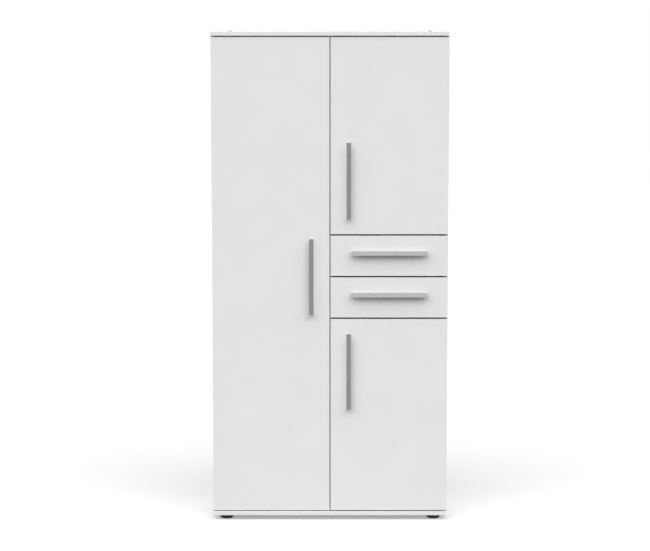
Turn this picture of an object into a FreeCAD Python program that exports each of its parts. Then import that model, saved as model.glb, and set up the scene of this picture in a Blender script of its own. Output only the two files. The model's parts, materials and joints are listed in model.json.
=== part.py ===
import FreeCAD, Part
import os
import re
import Sketcher

# A tall storage cabinet in white board: a tall door on the left, and a door, two drawers and a door on the
# right. Millimetres. X runs to the right, Y from the front to the back, Z up. The origin lies on the floor
# under the middle of the cabinet, halfway between the handle fronts and the back edges.

SIZES = {
    # whole cabinet
    "cabinet_width": 900,
    "cabinet_depth": 400,
    "foot_height": 19,
    # boards
    "top_board": 15,
    "bottom_board": 15,
    "side_board": 15,
    "partition_board": 15,
    "shelf_board": 15,
    "door_board": 15,
    "back_board": 3,
    "front_edge_radius": 0.8,
    # fronts
    "short_door_height": 744.25,
    "drawer_front_height": 154,
    "front_gap": 4,
    "drawer_gap": 5.5,
    "column_gap": 4,
    "side_reveal": 0.5,
    "bumper_gap": 2,
    "panel_overhang": 4,
    # back panels in their grooves
    "back_recess": 12,
    "groove_depth": 5,
    "groove_clearance": 0.4,
    "back_edge_clearance": 0.5,
    # shelves
    "shelf_clear_height": 352,
    "deck_offset": 2,
    "shelf_setback": 8,
    "shelf_back_clearance": 1,
    # shelf pins
    "pin_radius": 2.5,
    "pin_seat_depth": 7,
    "pin_reach": 8,
    "pin_collar_radius": 4,
    "pin_collar": 1,
    "pin_collar_clearance": 0.3,
    "pin_inset": 45,
    "pin_row_pitch": 32,
    # cam fittings and dowels
    "cam_radius": 7.4,
    "cam_depth": 12.5,
    "cam_setback": 34,
    "cam_slot_width": 2,
    "cam_slot_depth": 3,
    "cam_slot_length": 10,
    "bolt_radius": 3,
    "bolt_bore_clearance": 0.4,
    "bolt_cam_inset": 3,
    "bolt_grip": 10,
    "fitting_inset": 60,
    "dowel_radius": 4,
    "dowel_grip": 10,
    "dowel_length": 30,
    # feet
    "foot_inset": 49,
    "foot_radius": 25.5,
    "foot_sole_radius": 22,
    "foot_disc": 9,
    "foot_neck_radius": 14,
    "foot_flange_radius": 20,
    "foot_flange": 3,
    "foot_recess_radius": 6,
    "foot_recess": 13,
    # wall brackets
    "bracket_inset": 51,
    "bracket_width": 15,
    "bracket_rise": 24,
    "bracket_foot": 25,
    "bracket_steel": 2,
    "bracket_wall_hole_radius": 2.5,
    "bracket_wall_hole_height": 15,
    "bracket_screw_hole_radius": 2.2,
    "bracket_screw_place": 13,
    # screws
    "screw_radius": 2,
    "screw_head_radius": 4,
    "screw_head": 2,
    "screw_length": 12,
    "rail_screw_head": 0.8,
    # handles
    "handle_length": 290,
    "handle_width": 17,
    "handle_projection": 20,
    "handle_plate": 2.5,
    "handle_web": 2,
    "handle_foot": 6,
    "handle_foot_height": 10,
    "handle_edge_radius": 0.8,
    "handle_corner_radius": 1.5,
    "handle_spacing": 256,
    "handle_inset": 69,
    "handle_end_margin": 57.25,
    "drawer_handle_drop": 66.25,
    "handle_screw_radius": 2,
    "handle_screw_grip": 5,
    "handle_screw_head_radius": 4,
    "handle_screw_head": 2.4,
    "handle_hole_radius": 2.5,
    # door bumpers
    "bumper_radius": 2.3,
    "bumper_thickness": 1.7,
    "bumper_inset": 60,
    # drawer boxes
    "drawer_side_board": 12,
    "drawer_side_height": 110,
    "drawer_side_length": 345,
    "drawer_bottom_board": 3,
    "drawer_groove_depth": 5,
    "drawer_groove_rise": 8,
    "drawer_bottom_clearance": 0.3,
    # roller runners
    "rail_length": 350,
    "rail_steel": 1.2,
    "rail_height": 20,
    "rail_flange": 10,
    "rail_rise": 16,
    "rail_setback": 2,
    "runner_gap": 12.5,
    "track_clearance": 0.4,
    "track_lip_place": 2,
    "track_lip": 2.4,
    "track_drop": 11,
    "track_shelf": 10,
    "roller_radius": 8.4,
    "roller_width": 6,
    "roller_clearance": 0.3,
    "roller_bore_clearance": 0.06,
    "roller_end_inset": 12,
    "roller_place": 3.4,
    "roller_chamfer": 0.8,
    # hinges
    "hinge_end_margin": 100,
    "cup_edge_distance": 3,
    "cup_radius": 17.5,
    "cup_depth": 12,
    "cup_wall": 1,
    "cup_flange": 1,
    "cup_flange_start": 5,
    "cup_flange_reach": 18,
    "cup_flange_waist": 28,
    "cup_flange_span": 62,
    "cup_screw_setback": 9.5,
    "cup_screw_spacing": 48,
    "plate_setback": 37,
    "plate_screw_spacing": 32,
    "plate_steel": 2,
    "plate_length": 44,
    "plate_width": 15,
    "plate_wing_length": 14,
    "plate_wing_span": 46,
    # hinge arms
    "arm_outer_rise": 19,
    "arm_outer_setback": 2.4,
    "arm_inner_rise": 6.8,
    "arm_inner_lead": 7.3,
    "arm_nose": 2.3,
    "arm_steel": 1.2,
    "arm_web_clearance": 2.8,
    "arm_seat_inset": 2,
    "arm_throat": 2.3,
    "arm_front_length": 26,
    "arm_slope_length": 15,
    "arm_rear_rise": 12,
    "arm_corner_radius": 2,
    "arm_screw_inset": 14,
    # hinge links, side by side across the hinge
    "inner_link_width": 4.4,
    "link_gap": 0.4,
    "outer_link_width": 1.8,
    "arm_gap": 0.5,
    "outer_link_half_steel": 1.5,
    "inner_link_half_steel": 1,
    "link_eye_clearance": 0.06,
    "link_boss_radius": 2,
    "outer_elbow_reach": 5,
    "outer_elbow_drop": 10.4,
    "outer_heel_reach": 13,
    "outer_heel_drop": 13.4,
    "outer_neck_reach": 8.35,
    "outer_neck_drop": 1.7,
    "inner_elbow_reach": 0.3,
    "inner_elbow_drop": 3.2,
    "inner_heel_reach": 7.8,
    "inner_heel_drop": 4.3,
    "open_eye_radius": 1.55,
    "open_eye_boss_radius": 2.5,
    "open_eye_offset": 0.437,
    "open_eye_lead": 0.147,
    # pins of the cup
    "hinge_pin_radius": 1,
    "hinge_pin_seat": 1.7,
    "outer_pin_offset": 11.35,
    "outer_pin_depth": 1.8,
    "inner_pin_offset": 11.1,
    "inner_pin_depth": 5.1,
    "cheek_gap": 0.7,
    "cheek_offset": 14.5,
    "cheek_length": 7,
    "cheek_steel": 2.4,
    # screws and end cuts of the rails
    "rail_screw_inset": 35,
    "rail_end_cut": 24,
    "track_screw_length": 8,
    "axle_radius": 2,
    "axle_head_radius": 3.2,
    "axle_head": 0.7,
    "axle_head_clearance": 0.3,
}

PLACES = {
    "right_face": "cabinet_width / 2",
    "right_inner": "right_face - side_board",
    "partition_half": "partition_board / 2",
    "back_edge": "(cabinet_depth + handle_projection) / 2",
    "door_face": "back_edge - cabinet_depth",
    "door_back": "door_face + door_board",
    "carcass_front": "door_back + bumper_gap",
    "panel_front": "door_face - panel_overhang",
    "back_front_face": "back_edge - back_recess - back_board",
    "carcass_depth": "back_edge - carcass_front",
    "bottom_top": "foot_height + bottom_board",
    "lower_door_foot": "bottom_top + front_gap",
    "lower_door_head": "lower_door_foot + short_door_height",
    "lower_drawer_foot": "lower_door_head + drawer_gap",
    "upper_drawer_foot": "lower_drawer_foot + drawer_front_height + drawer_gap",
    "upper_door_foot": "upper_drawer_foot + drawer_front_height + drawer_gap",
    "front_head": "upper_door_foot + short_door_height",
    "tall_door_height": "front_head - lower_door_foot",
    "top_under": "front_head + front_gap",
    "top_face": "top_under + top_board",
    "upright_height": "top_under - bottom_top",
    "front_width": "right_face - side_reveal - column_gap / 2",
    "lower_deck_top": "lower_door_head - deck_offset",
    "lower_deck_under": "lower_deck_top - shelf_board",
    "upper_deck_under": "upper_door_foot + deck_offset",
    "upper_deck_top": "upper_deck_under + shelf_board",
    "shelf_pitch": "shelf_clear_height + shelf_board",
    "shelf_side_clearance": "pin_collar + pin_collar_clearance",
    "drawer_box_left": "partition_half + runner_gap",
    "drawer_box_right": "right_inner - runner_gap",
    "drawer_box_back": "door_back + drawer_side_length",
    "track_top": "rail_height - rail_steel - track_clearance",
    "rail_front": "carcass_front + rail_setback",
    "handle_x": "handle_inset + column_gap / 2",
    "handle_screw_place": "(handle_width - handle_foot_height) / 2",
    "cup_place": "side_reveal + cup_edge_distance + cup_radius",
    "hinge_front": "door_board + bumper_gap",
    "plate_place": "hinge_front + plate_setback",
    "plate_top": "side_board + plate_steel",
    "outer_pivot_x": "plate_top + arm_outer_rise",
    "outer_pivot_y": "hinge_front + arm_outer_setback",
    "inner_pivot_x": "plate_top + arm_inner_rise",
    "inner_pivot_y": "hinge_front - arm_inner_lead",
    "outer_pin_x": "cup_place - outer_pin_offset",
    "outer_pin_y": "door_board - outer_pin_depth",
    "inner_pin_x": "cup_place - inner_pin_offset",
    "inner_pin_y": "door_board - inner_pin_depth",
    "outer_link_start": "inner_link_width / 2 + link_gap",
    "arm_channel_half": "outer_link_start + outer_link_width + arm_gap",
    "arm_half": "arm_channel_half + arm_steel",
    "cheek_start": "arm_half + cheek_gap",
    "arm_seat_start": "plate_place - plate_wing_length / 2 + arm_seat_inset",
    "arm_seat_end": "plate_place - plate_wing_length / 2 + plate_length - arm_seat_inset",
    "arm_screw_place": "arm_seat_end - arm_screw_inset",
}


def bound(text):
    """The expression with each size and place named on its sheet."""

    def on_sheet(match):
        word = match.group(0)
        if word in SIZES:
            return "Sizes." + word
        if word in PLACES:
            return "Places." + word
        return word

    return re.sub(r"[a-z_][a-z_0-9]*", on_sheet, str(text))


def write_sheet(name, cells, prefix=""):
    sheet = doc.addObject("Spreadsheet::Sheet", name)
    for row, (alias, content) in enumerate(cells.items(), start=1):
        sheet.set(f"A{row}", alias)
        sheet.set(f"B{row}", prefix + (bound(content) if prefix else str(content)))
        sheet.setAlias(f"B{row}", alias)
    return sheet


doc = FreeCAD.newDocument("Cabinet")
sizes = write_sheet("Sizes", SIZES)
write_sheet("Places", PLACES, "=")
doc.recompute()


def value(text):
    """The number that an expression gives."""
    return float(sizes.evalExpression(bound(text)))


def bind(thing, **expressions):
    for name, text in expressions.items():
        thing.setExpression(name, bound(text))


AXIS_TURNS = {
    "+Z": (FreeCAD.Vector(1, 0, 0), 0),
    "-Z": (FreeCAD.Vector(1, 0, 0), 180),
    "+X": (FreeCAD.Vector(0, 1, 0), 90),
    "-X": (FreeCAD.Vector(0, 1, 0), -90),
    "+Y": (FreeCAD.Vector(1, 0, 0), -90),
    "-Y": (FreeCAD.Vector(1, 0, 0), 90),
}


def place(thing, at, axis="+Z", turn=None):
    """Puts the object's own origin at three expressions, with its Z axis along the named direction."""
    rotation = turn or FreeCAD.Rotation(*AXIS_TURNS[axis])
    thing.Placement = FreeCAD.Placement(FreeCAD.Vector(), rotation)
    for letter, text in zip("xyz", at):
        thing.setExpression(f".Placement.Base.{letter}", bound(text))
    return thing


def box(name, at, length, width, height):
    solid = doc.addObject("Part::Box", name)
    bind(solid, Length=length, Width=width, Height=height)
    return place(solid, at)


def cylinder(name, at, radius, height, axis="+Z"):
    solid = doc.addObject("Part::Cylinder", name)
    bind(solid, Radius=radius, Height=height)
    return place(solid, at, axis)


def copy_of(master, name, at, axis="+Z", turn=None):
    link = doc.addObject("App::Link", name)
    link.LinkedObject = master
    return place(link, at, axis, turn)


def group(name, members):
    compound = doc.addObject("Part::Compound", name)
    compound.Links = members
    return compound


def cut(name, base, tools):
    result = doc.addObject("Part::Cut", name)
    result.Base = base
    result.Tool = tools[0] if len(tools) == 1 else group(name + "_tools", tools)
    return result


def drilled(name, base, *groups):
    """The base with each group of drillings cut away in turn. The members of one group lie apart."""
    groups = [tools for tools in groups if tools]
    for count, tools in enumerate(groups, start=1):
        base = cut(name if count == len(groups) else f"{name}_cut{count}", base, tools)
    return base


def mirrored(name, source, plane_x):
    result = doc.addObject("Part::Mirroring", name)
    result.Source = source
    result.Normal = FreeCAD.Vector(1, 0, 0)
    result.setExpression(".Base.x", bound(plane_x))
    return result


def origin_plane(body, role):
    return next(feature for feature in body.Origin.OriginFeatures if feature.Role == role)


def new_body(name):
    return doc.addObject("PartDesign::Body", name)


def new_sketch(body, name, role):
    sketch = body.newObject("Sketcher::SketchObject", name)
    sketch.AttachmentSupport = [(origin_plane(body, role), "")]
    sketch.MapMode = "FlatFace"
    return sketch


def pin_point(sketch, line, end, x, y):
    """Ties one end of a line to two expressions."""
    for kind, axis, text in (("DistanceX", -2, x), ("DistanceY", -1, y)):
        if str(text) == "0":
            sketch.addConstraint(Sketcher.Constraint("PointOnObject", line, end, axis))
        else:
            index = sketch.addConstraint(
                Sketcher.Constraint(kind, -1, 1, line, end, value(text))
            )
            sketch.setExpression(f"Constraints[{index}]", bound(text))


def polygon(sketch, corners, closed=True):
    points = [FreeCAD.Vector(value(x), value(y), 0) for x, y in corners]
    ends = points[1:] + points[:1] if closed else points[1:]
    first = sketch.GeometryCount
    lines = [sketch.addGeometry(Part.LineSegment(a, b)) for a, b in zip(points, ends)]
    for line, after in zip(lines, lines[1:] + ([first] if closed else [])):
        sketch.addConstraint(Sketcher.Constraint("Coincident", line, 2, after, 1))
    for line, corner in zip(lines, corners):
        pin_point(sketch, line, 1, *corner)
    if not closed:
        pin_point(sketch, lines[-1], 2, *corners[-1])
    return lines


def rectangle(sketch, low, high):
    return polygon(sketch, [low, (high[0], low[1]), high, (low[0], high[1])])


def circle(sketch, x, y, radius):
    centre = FreeCAD.Vector(value(x), value(y), 0)
    index = sketch.addGeometry(Part.Circle(centre, FreeCAD.Vector(0, 0, 1), value(radius)))
    pin_point(sketch, index, 3, x, y)
    size = sketch.addConstraint(Sketcher.Constraint("Radius", index, value(radius)))
    sketch.setExpression(f"Constraints[{size}]", bound(radius))
    return index


def pad(body, sketch, length, reverse=False, middle=False):
    feature = body.newObject("PartDesign::Pad", sketch.Name + "_pad")
    feature.Profile = sketch
    feature.Reversed = reverse
    feature.Midplane = middle
    bind(feature, Length=length)
    return feature


def pocket(body, sketch, length, reverse=False, middle=False):
    before = body.Tip
    feature = body.newObject("PartDesign::Pocket", sketch.Name + "_pocket")
    feature.Profile = sketch
    feature.Reversed = reverse
    feature.Midplane = middle
    bind(feature, Length=length)
    doc.recompute()
    if feature.Shape.Volume > before.Shape.Volume - 1e-6:
        raise ValueError(f"{feature.Name} removes nothing")
    return feature


def revolve(body, sketch):
    feature = body.newObject("PartDesign::Revolution", sketch.Name + "_turn")
    feature.Profile = sketch
    feature.ReferenceAxis = (sketch, ["V_Axis"])
    feature.Angle = 360
    return feature


def fillet(body, base, edges, radius):
    feature = body.newObject("PartDesign::Fillet", body.Name + "_fillet")
    feature.Base = (base, edges)
    bind(feature, Radius=radius)
    return feature


def edges_where(shape, test):
    """The names of the straight edges whose middle and direction pass a test."""
    names = []
    for number, edge in enumerate(shape.Edges, start=1):
        if not isinstance(edge.Curve, (Part.Line, Part.LineSegment)):
            continue
        middle = (edge.firstVertex().Point + edge.lastVertex().Point) * 0.5
        if test(middle, edge.tangentAt(edge.FirstParameter)):
            names.append(f"Edge{number}")
    return names


nodes = []


def node(label, thing):
    """Marks a finished sub-part. Its label names its file."""
    thing.Label = label
    nodes.append(thing)
    return thing


# Boards of the carcass ------------------------------------------------------------------------------------

FIXED_SHELVES = {
    "left_fixed_shelf": ("-right_inner", "-partition_half", "bottom_top + 2 * shelf_pitch - shelf_board"),
    "shelf_below_drawers": ("partition_half", "right_inner", "lower_deck_under"),
    "shelf_above_drawers": ("partition_half", "right_inner", "upper_deck_under"),
}
LOOSE_SHELVES = {
    "left_shelf_lower": ("-right_inner", "-partition_half", "bottom_top + shelf_clear_height"),
    "left_shelf_middle": ("-right_inner", "-partition_half", "bottom_top + 3 * shelf_pitch - shelf_board"),
    "left_shelf_upper": ("-right_inner", "-partition_half", "bottom_top + 4 * shelf_pitch - shelf_board"),
    "lower_right_shelf": ("partition_half", "right_inner", "bottom_top + shelf_clear_height"),
    "upper_right_shelf": ("partition_half", "right_inner", "upper_deck_top + shelf_clear_height"),
}
# each upright: its outer x, its thickness, the x of the face that takes the cams, the cams' direction
UPRIGHTS = {
    "left_side_panel": ("-right_face", "side_board", "-right_inner", "-X"),
    "centre_partition": ("-partition_half", "partition_board", "partition_half", "-X"),
    "right_side_panel": ("right_inner", "side_board", "right_inner", "+X"),
}
FITTING_ROWS = {
    "front": "carcass_front + fitting_inset",
    "rear": "back_front_face - fitting_inset",
}
MIDDLE_ROW = "(carcass_front + back_front_face) / 2"

bores = {}
cams = []
bolts = []
dowels = []
pins = []
carcass_screws = []


def bore(board, kind, at, radius, height, axis):
    """A drilling to cut from a board. Drillings of one kind in one board lie apart."""
    kinds = bores.setdefault(board, {})
    tools = kinds.setdefault(kind, [])
    tools.append(cylinder(f"{board}_{kind}{len(tools)}", at, radius, height, axis))


def slot(board, kind, at, length, width, height):
    kinds = bores.setdefault(board, {})
    tools = kinds.setdefault(kind, [])
    tools.append(box(f"{board}_{kind}{len(tools)}", at, length, width, height))


OPPOSITE = {"+": "-", "-": "+"}


def opposite(axis):
    return OPPOSITE[axis[0]] + axis[1]


def facing(z_axis, x_axis):
    """A rotation that sends Z and X along two named directions."""
    up = FreeCAD.Vector(0, 0, 1)
    z_way, x_way = (FreeCAD.Rotation(*AXIS_TURNS[axis]) * up for axis in (z_axis, x_axis))
    return FreeCAD.Rotation(x_way, z_way.cross(x_way), z_way, "ZXY")


def moved(at, axis, distance):
    """The point a distance along a named direction."""
    place_of = "XYZ".index(axis[1])
    return tuple(
        f"({text}) {axis[0]} ({distance})" if index == place_of else text
        for index, text in enumerate(at)
    )


def cam_joint(board, other, joint_point, cam_face, into, toward):
    """One cam fitting: the cam sits in a face of board, and its bolt grips other beyond the joint.

    joint_point is where the bolt's axis crosses the joint, cam_face the same point slid out to the face that
    takes the cam, into the direction from that face into the board, and toward the way to the other board.
    """
    back = opposite(toward)
    centre = moved(cam_face, back, "cam_setback")
    bore(board, "cams", centre, "cam_radius", "cam_depth", into)
    start = moved(joint_point, back, "cam_setback")
    bore(board, "bolts", start, "bolt_radius + bolt_bore_clearance", "cam_setback", toward)
    bore(other, "bolts", joint_point, "bolt_radius", "bolt_grip", toward)
    cams.append((centre, facing(into, toward)))
    bolts.append((moved(start, toward, "bolt_cam_inset"), toward))


def dowel_joint(board, other, joint_point, toward):
    start = moved(joint_point, opposite(toward), "dowel_length - dowel_grip")
    bore(board, "dowels", start, "dowel_radius", "dowel_length - dowel_grip", toward)
    bore(other, "dowels", joint_point, "dowel_radius", "dowel_grip", toward)
    dowels.append((start, toward))


def join_uprights():
    """Cams and a dowel at both ends of each upright board."""
    for board, (outer, thickness, cam_x, into) in UPRIGHTS.items():
        middle = f"{outer} + {thickness} / 2"
        for other, height, toward in (
            ("bottom_panel", "bottom_top", "-Z"),
            ("top_panel", "top_under", "+Z"),
        ):
            for row in FITTING_ROWS.values():
                cam_joint(board, other, (middle, row, height), (cam_x, row, height), into, toward)
            dowel_joint(board, other, (middle, MIDDLE_ROW, height), toward)


def join_shelves():
    """Cams under each fixed shelf and a dowel at both its ends."""
    for board, (left_x, right_x, under) in FIXED_SHELVES.items():
        middle = f"{under} + shelf_board / 2"
        for x, toward in ((left_x, "-X"), (right_x, "+X")):
            other = upright_at(x)
            for row in FITTING_ROWS.values():
                cam_joint(board, other, (x, row, middle), (x, row, under), "+Z", toward)
            dowel_joint(board, other, (x, MIDDLE_ROW, middle), toward)


def upright_at(face):
    return {
        "-right_inner": "left_side_panel",
        "-partition_half": "centre_partition",
        "partition_half": "centre_partition",
        "right_inner": "right_side_panel",
    }[face]


def seat_loose_shelves():
    """Rows of pin holes, three to a corner, with a pin in the middle one."""
    rows = ("carcass_front + pin_inset", "back_front_face - pin_inset")
    for left_x, right_x, under in LOOSE_SHELVES.values():
        for x, toward in ((left_x, "-X"), (right_x, "+X")):
            for row in rows:
                for step in (-1, 0, 1):
                    height = f"{under} - pin_radius + {step} * pin_row_pitch"
                    bore(upright_at(x), "pins", (x, row, height), "pin_radius", "pin_seat_depth", toward)
                pins.append(((x, row, f"{under} - pin_radius"), toward))


def cut_grooves():
    """Grooves for the two back panels, along the uprights and along the top and bottom."""
    front = "back_front_face - groove_clearance / 2"
    width = "back_board + groove_clearance"
    for board, x in (
        ("left_side_panel", "-right_inner - groove_depth"),
        ("centre_partition", "-partition_half"),
        ("centre_partition", "partition_half - groove_depth"),
        ("right_side_panel", "right_inner"),
    ):
        slot(board, "grooves", (x, front, "bottom_top"), "groove_depth", width, "upright_height")
    across = "2 * (right_inner + groove_depth)"
    for board, z in (("bottom_panel", "bottom_top - groove_depth"), ("top_panel", "top_under")):
        slot(board, "grooves", ("-right_inner - groove_depth", front, z), across, width, "groove_depth")


def make_panels():
    """The top and the bottom, with softened front edges."""
    for board, z, thickness in (
        ("bottom_panel", "foot_height", "bottom_board"),
        ("top_panel", "top_under", "top_board"),
    ):
        body = new_body(board + "_blank")
        sketch = new_sketch(body, board + "_outline", "XY_Plane")
        rectangle(sketch, ("0", "0"), ("cabinet_width", "back_edge - panel_front"))
        blank = pad(body, sketch, thickness)
        doc.recompute()
        front_edges = edges_where(blank.Shape, lambda middle, way: abs(middle.y) < 0.1 and abs(way.x) > 0.9)
        fillet(body, blank, front_edges, "front_edge_radius")
        place(body, ("-right_face", "panel_front", z))
        node(board, drilled(board, body, *bores[board].values()))


def make_uprights():
    for board, (outer, thickness, _, _) in UPRIGHTS.items():
        low = (outer, "carcass_front", "bottom_top")
        blank = box(board + "_blank", low, thickness, "carcass_depth", "upright_height")
        node(board, drilled(board, blank, *bores[board].values()))


def make_shelves():
    for board, (left_x, right_x, under) in FIXED_SHELVES.items():
        low = (left_x, "carcass_front", under)
        depth = "back_front_face - groove_clearance - carcass_front"
        blank = box(board + "_blank", low, f"{right_x} - ({left_x})", depth, "shelf_board")
        node(board, drilled(board, blank, *bores[board].values()))
    for board, (left_x, right_x, under) in LOOSE_SHELVES.items():
        low = (f"{left_x} + shelf_side_clearance", "carcass_front + shelf_setback", under)
        across = f"{right_x} - ({left_x}) - 2 * shelf_side_clearance"
        depth = "back_front_face - shelf_back_clearance - carcass_front - shelf_setback"
        node(board, box(board, low, across, depth, "shelf_board"))


def make_back_panels():
    reach = "groove_depth - back_edge_clearance"
    for board, left_x, right_x in (
        ("left_back_panel", "-right_inner", "-partition_half"),
        ("right_back_panel", "partition_half", "right_inner"),
    ):
        low = (f"{left_x} - ({reach})", "back_front_face", f"bottom_top - ({reach})")
        across = f"{right_x} - ({left_x}) + 2 * ({reach})"
        node(board, box(board, low, across, "back_board", f"upright_height + 2 * ({reach})"))


def make_cams():
    body = cylinder("cam_blank", ("0", "0", "0"), "cam_radius", "cam_depth - bolt_bore_clearance")
    slots = [
        box(f"cam_slot{way}", (f"-{length} / 2", f"-{width} / 2", "0"), length, width, "cam_slot_depth")
        for way, length, width in (
            (0, "cam_slot_length", "cam_slot_width"),
            (1, "cam_slot_width", "cam_slot_length"),
        )
    ]
    mouth = "bolt_radius + bolt_bore_clearance"
    start = ("bolt_cam_inset - bolt_bore_clearance", "0", "shelf_board / 2")
    way_in = cylinder("cam_mouth", start, mouth, "cam_radius", "+X")
    crossed = cut("cam_slotted", cut("cam_half_slotted", body, slots[:1]), slots[1:])
    master = cut("cam_master", crossed, [way_in])
    node("cam_locks", group("cam_locks", [
        copy_of(master, f"cam{index}", at, turn=turn) for index, (at, turn) in enumerate(cams)
    ]))


def make_bolts_and_dowels():
    length = "cam_setback - bolt_cam_inset + bolt_grip"
    node("cam_bolts", group("cam_bolts", [
        cylinder(f"bolt{index}", at, "bolt_radius", length, axis)
        for index, (at, axis) in enumerate(bolts)
    ]))
    node("dowels", group("dowels", [
        cylinder(f"dowel{index}", at, "dowel_radius", "dowel_length", axis)
        for index, (at, axis) in enumerate(dowels)
    ]))


def turned(name, corners):
    """A body turned about its own Z axis from a half profile in radius and height."""
    body = new_body(name)
    sketch = new_sketch(body, name + "_profile", "XZ_Plane")
    polygon(sketch, corners)
    revolve(body, sketch)
    return body


def screw_profile(length, head):
    """The half outline of a screw whose head sits on the plane z = 0."""
    return [
        ("0", f"-{length}"),
        ("screw_radius", f"-{length}"),
        ("screw_radius", "0"),
        ("screw_head_radius", "0"),
        ("screw_head_radius", f"{head} / 2"),
        ("screw_head_radius / 2", head),
        ("0", head),
    ]


def make_shelf_pins():
    master = turned("shelf_pin_master", [
        ("0", "-pin_reach"),
        ("pin_radius", "-pin_reach"),
        ("pin_radius", "-pin_collar"),
        ("pin_collar_radius", "-pin_collar"),
        ("pin_collar_radius", "0"),
        ("pin_radius", "0"),
        ("pin_radius", "pin_seat_depth"),
        ("0", "pin_seat_depth"),
    ])
    node("shelf_pins", group("shelf_pins", [
        copy_of(master, f"pin{index}", at, axis) for index, (at, axis) in enumerate(pins)
    ]))


# Feet, wall brackets and screws ---------------------------------------------------------------------------

FOOT_PLACES = [
    (f"{side} * (right_face - foot_inset)", row)
    for side in (-1, 1)
    for row in ("panel_front + foot_inset", "back_edge - foot_inset")
]


def make_feet():
    """Four round glides, each on a screw that goes up through its middle into the bottom panel."""
    master = turned("foot_master", [
        ("foot_recess_radius", "0"),
        ("foot_sole_radius", "0"),
        ("foot_radius", "foot_radius - foot_sole_radius"),
        ("foot_radius", "foot_disc"),
        ("foot_neck_radius", "foot_disc + foot_flange"),
        ("foot_neck_radius", "foot_height - foot_flange"),
        ("foot_flange_radius", "foot_height - foot_flange"),
        ("foot_flange_radius", "foot_height"),
        ("screw_radius", "foot_height"),
        ("screw_radius", "foot_recess"),
        ("foot_recess_radius", "foot_recess"),
    ])
    feet = [copy_of(master, f"foot{index}", (x, y, "0")) for index, (x, y) in enumerate(FOOT_PLACES)]
    node("feet", group("feet", feet))
    for x, y in FOOT_PLACES:
        grip = "foot_recess + screw_length - foot_height"
        bore("bottom_panel", "screws", (x, y, "foot_height"), "screw_radius", grip, "+Z")
        carcass_screws.append(("wood", (x, y, "foot_recess"), "-Z"))


def make_brackets():
    """Two steel angles on the top panel, against the wall, to stop the cabinet tipping."""
    members = []
    for index, side in enumerate((-1, 1)):
        body = new_body(f"bracket{index}")
        sketch = new_sketch(body, f"bracket{index}_profile", "YZ_Plane")
        polygon(sketch, [
            ("0", "0"),
            ("0", "bracket_rise"),
            ("-bracket_steel", "bracket_rise"),
            ("-bracket_steel", "bracket_steel"),
            ("-bracket_foot", "bracket_steel"),
            ("-bracket_foot", "0"),
        ])
        pad(body, sketch, "bracket_width", middle=True)
        wall_hole = new_sketch(body, f"bracket{index}_wall_hole", "XZ_Plane")
        circle(wall_hole, "0", "bracket_wall_hole_height", "bracket_wall_hole_radius")
        pocket(body, wall_hole, "4 * bracket_steel", middle=True)
        screw_hole = new_sketch(body, f"bracket{index}_screw_hole", "XY_Plane")
        circle(screw_hole, "0", "-bracket_screw_place", "bracket_screw_hole_radius")
        pocket(body, screw_hole, "4 * bracket_steel", middle=True)
        x = f"{side} * (right_face - bracket_inset)"
        members.append(place(body, (x, "back_edge", "top_face")))
        at = (x, "back_edge - bracket_screw_place", "top_face + bracket_steel")
        mouth = moved(at, "-Z", "bracket_steel")
        bore("top_panel", "screws", mouth, "screw_radius", "screw_length - bracket_steel", "-Z")
        carcass_screws.append(("wood", at, "+Z"))
    node("wall_brackets", group("wall_brackets", members))


def make_screws():
    """Every screw that is driven into the carcass, as one group."""
    masters = {}
    for kind, head in (("wood", "screw_head"), ("rail", "rail_screw_head")):
        masters[kind] = turned(f"{kind}_screw_master", screw_profile("screw_length", head))
    node("carcass_screws", group("carcass_screws", [
        copy_of(masters[kind], f"screw{index}", at, axis)
        for index, (kind, at, axis) in enumerate(carcass_screws)
    ]))


# Doors, drawer fronts and handles -------------------------------------------------------------------------

LEFT_FRONT = "-right_face + side_reveal"
RIGHT_FRONT = "column_gap / 2"
# each front: its left x, its foot and its height
FRONTS = {
    "left_door": (LEFT_FRONT, "lower_door_foot", "tall_door_height"),
    "upper_door": (RIGHT_FRONT, "upper_door_foot", "short_door_height"),
    "lower_door": (RIGHT_FRONT, "lower_door_foot", "short_door_height"),
    "upper_drawer_front": (RIGHT_FRONT, "upper_drawer_foot", "drawer_front_height"),
    "lower_drawer_front": (RIGHT_FRONT, "lower_drawer_foot", "drawer_front_height"),
}
END_RISE = "handle_end_margin + handle_length / 2"
COLUMN_MIDDLE = "(column_gap / 2 + right_face - side_reveal) / 2"
# each handle: its board, the x and z of its middle, and the way that its closed side faces
HANDLES = {
    "left_door_handle": ("left_door", "-handle_x", "lower_door_foot + tall_door_height / 2", "+X"),
    "upper_door_handle": ("upper_door", "handle_x", f"upper_door_foot + {END_RISE}", "-X"),
    "lower_door_handle": ("lower_door", "handle_x", f"lower_door_head - ({END_RISE})", "-X"),
    "upper_drawer_handle": (
        "upper_drawer_front",
        COLUMN_MIDDLE,
        "upper_drawer_foot + drawer_front_height - drawer_handle_drop",
        "+Z",
    ),
    "lower_drawer_handle": (
        "lower_drawer_front",
        COLUMN_MIDDLE,
        "lower_drawer_foot + drawer_front_height - drawer_handle_drop",
        "+Z",
    ),
}


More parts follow.
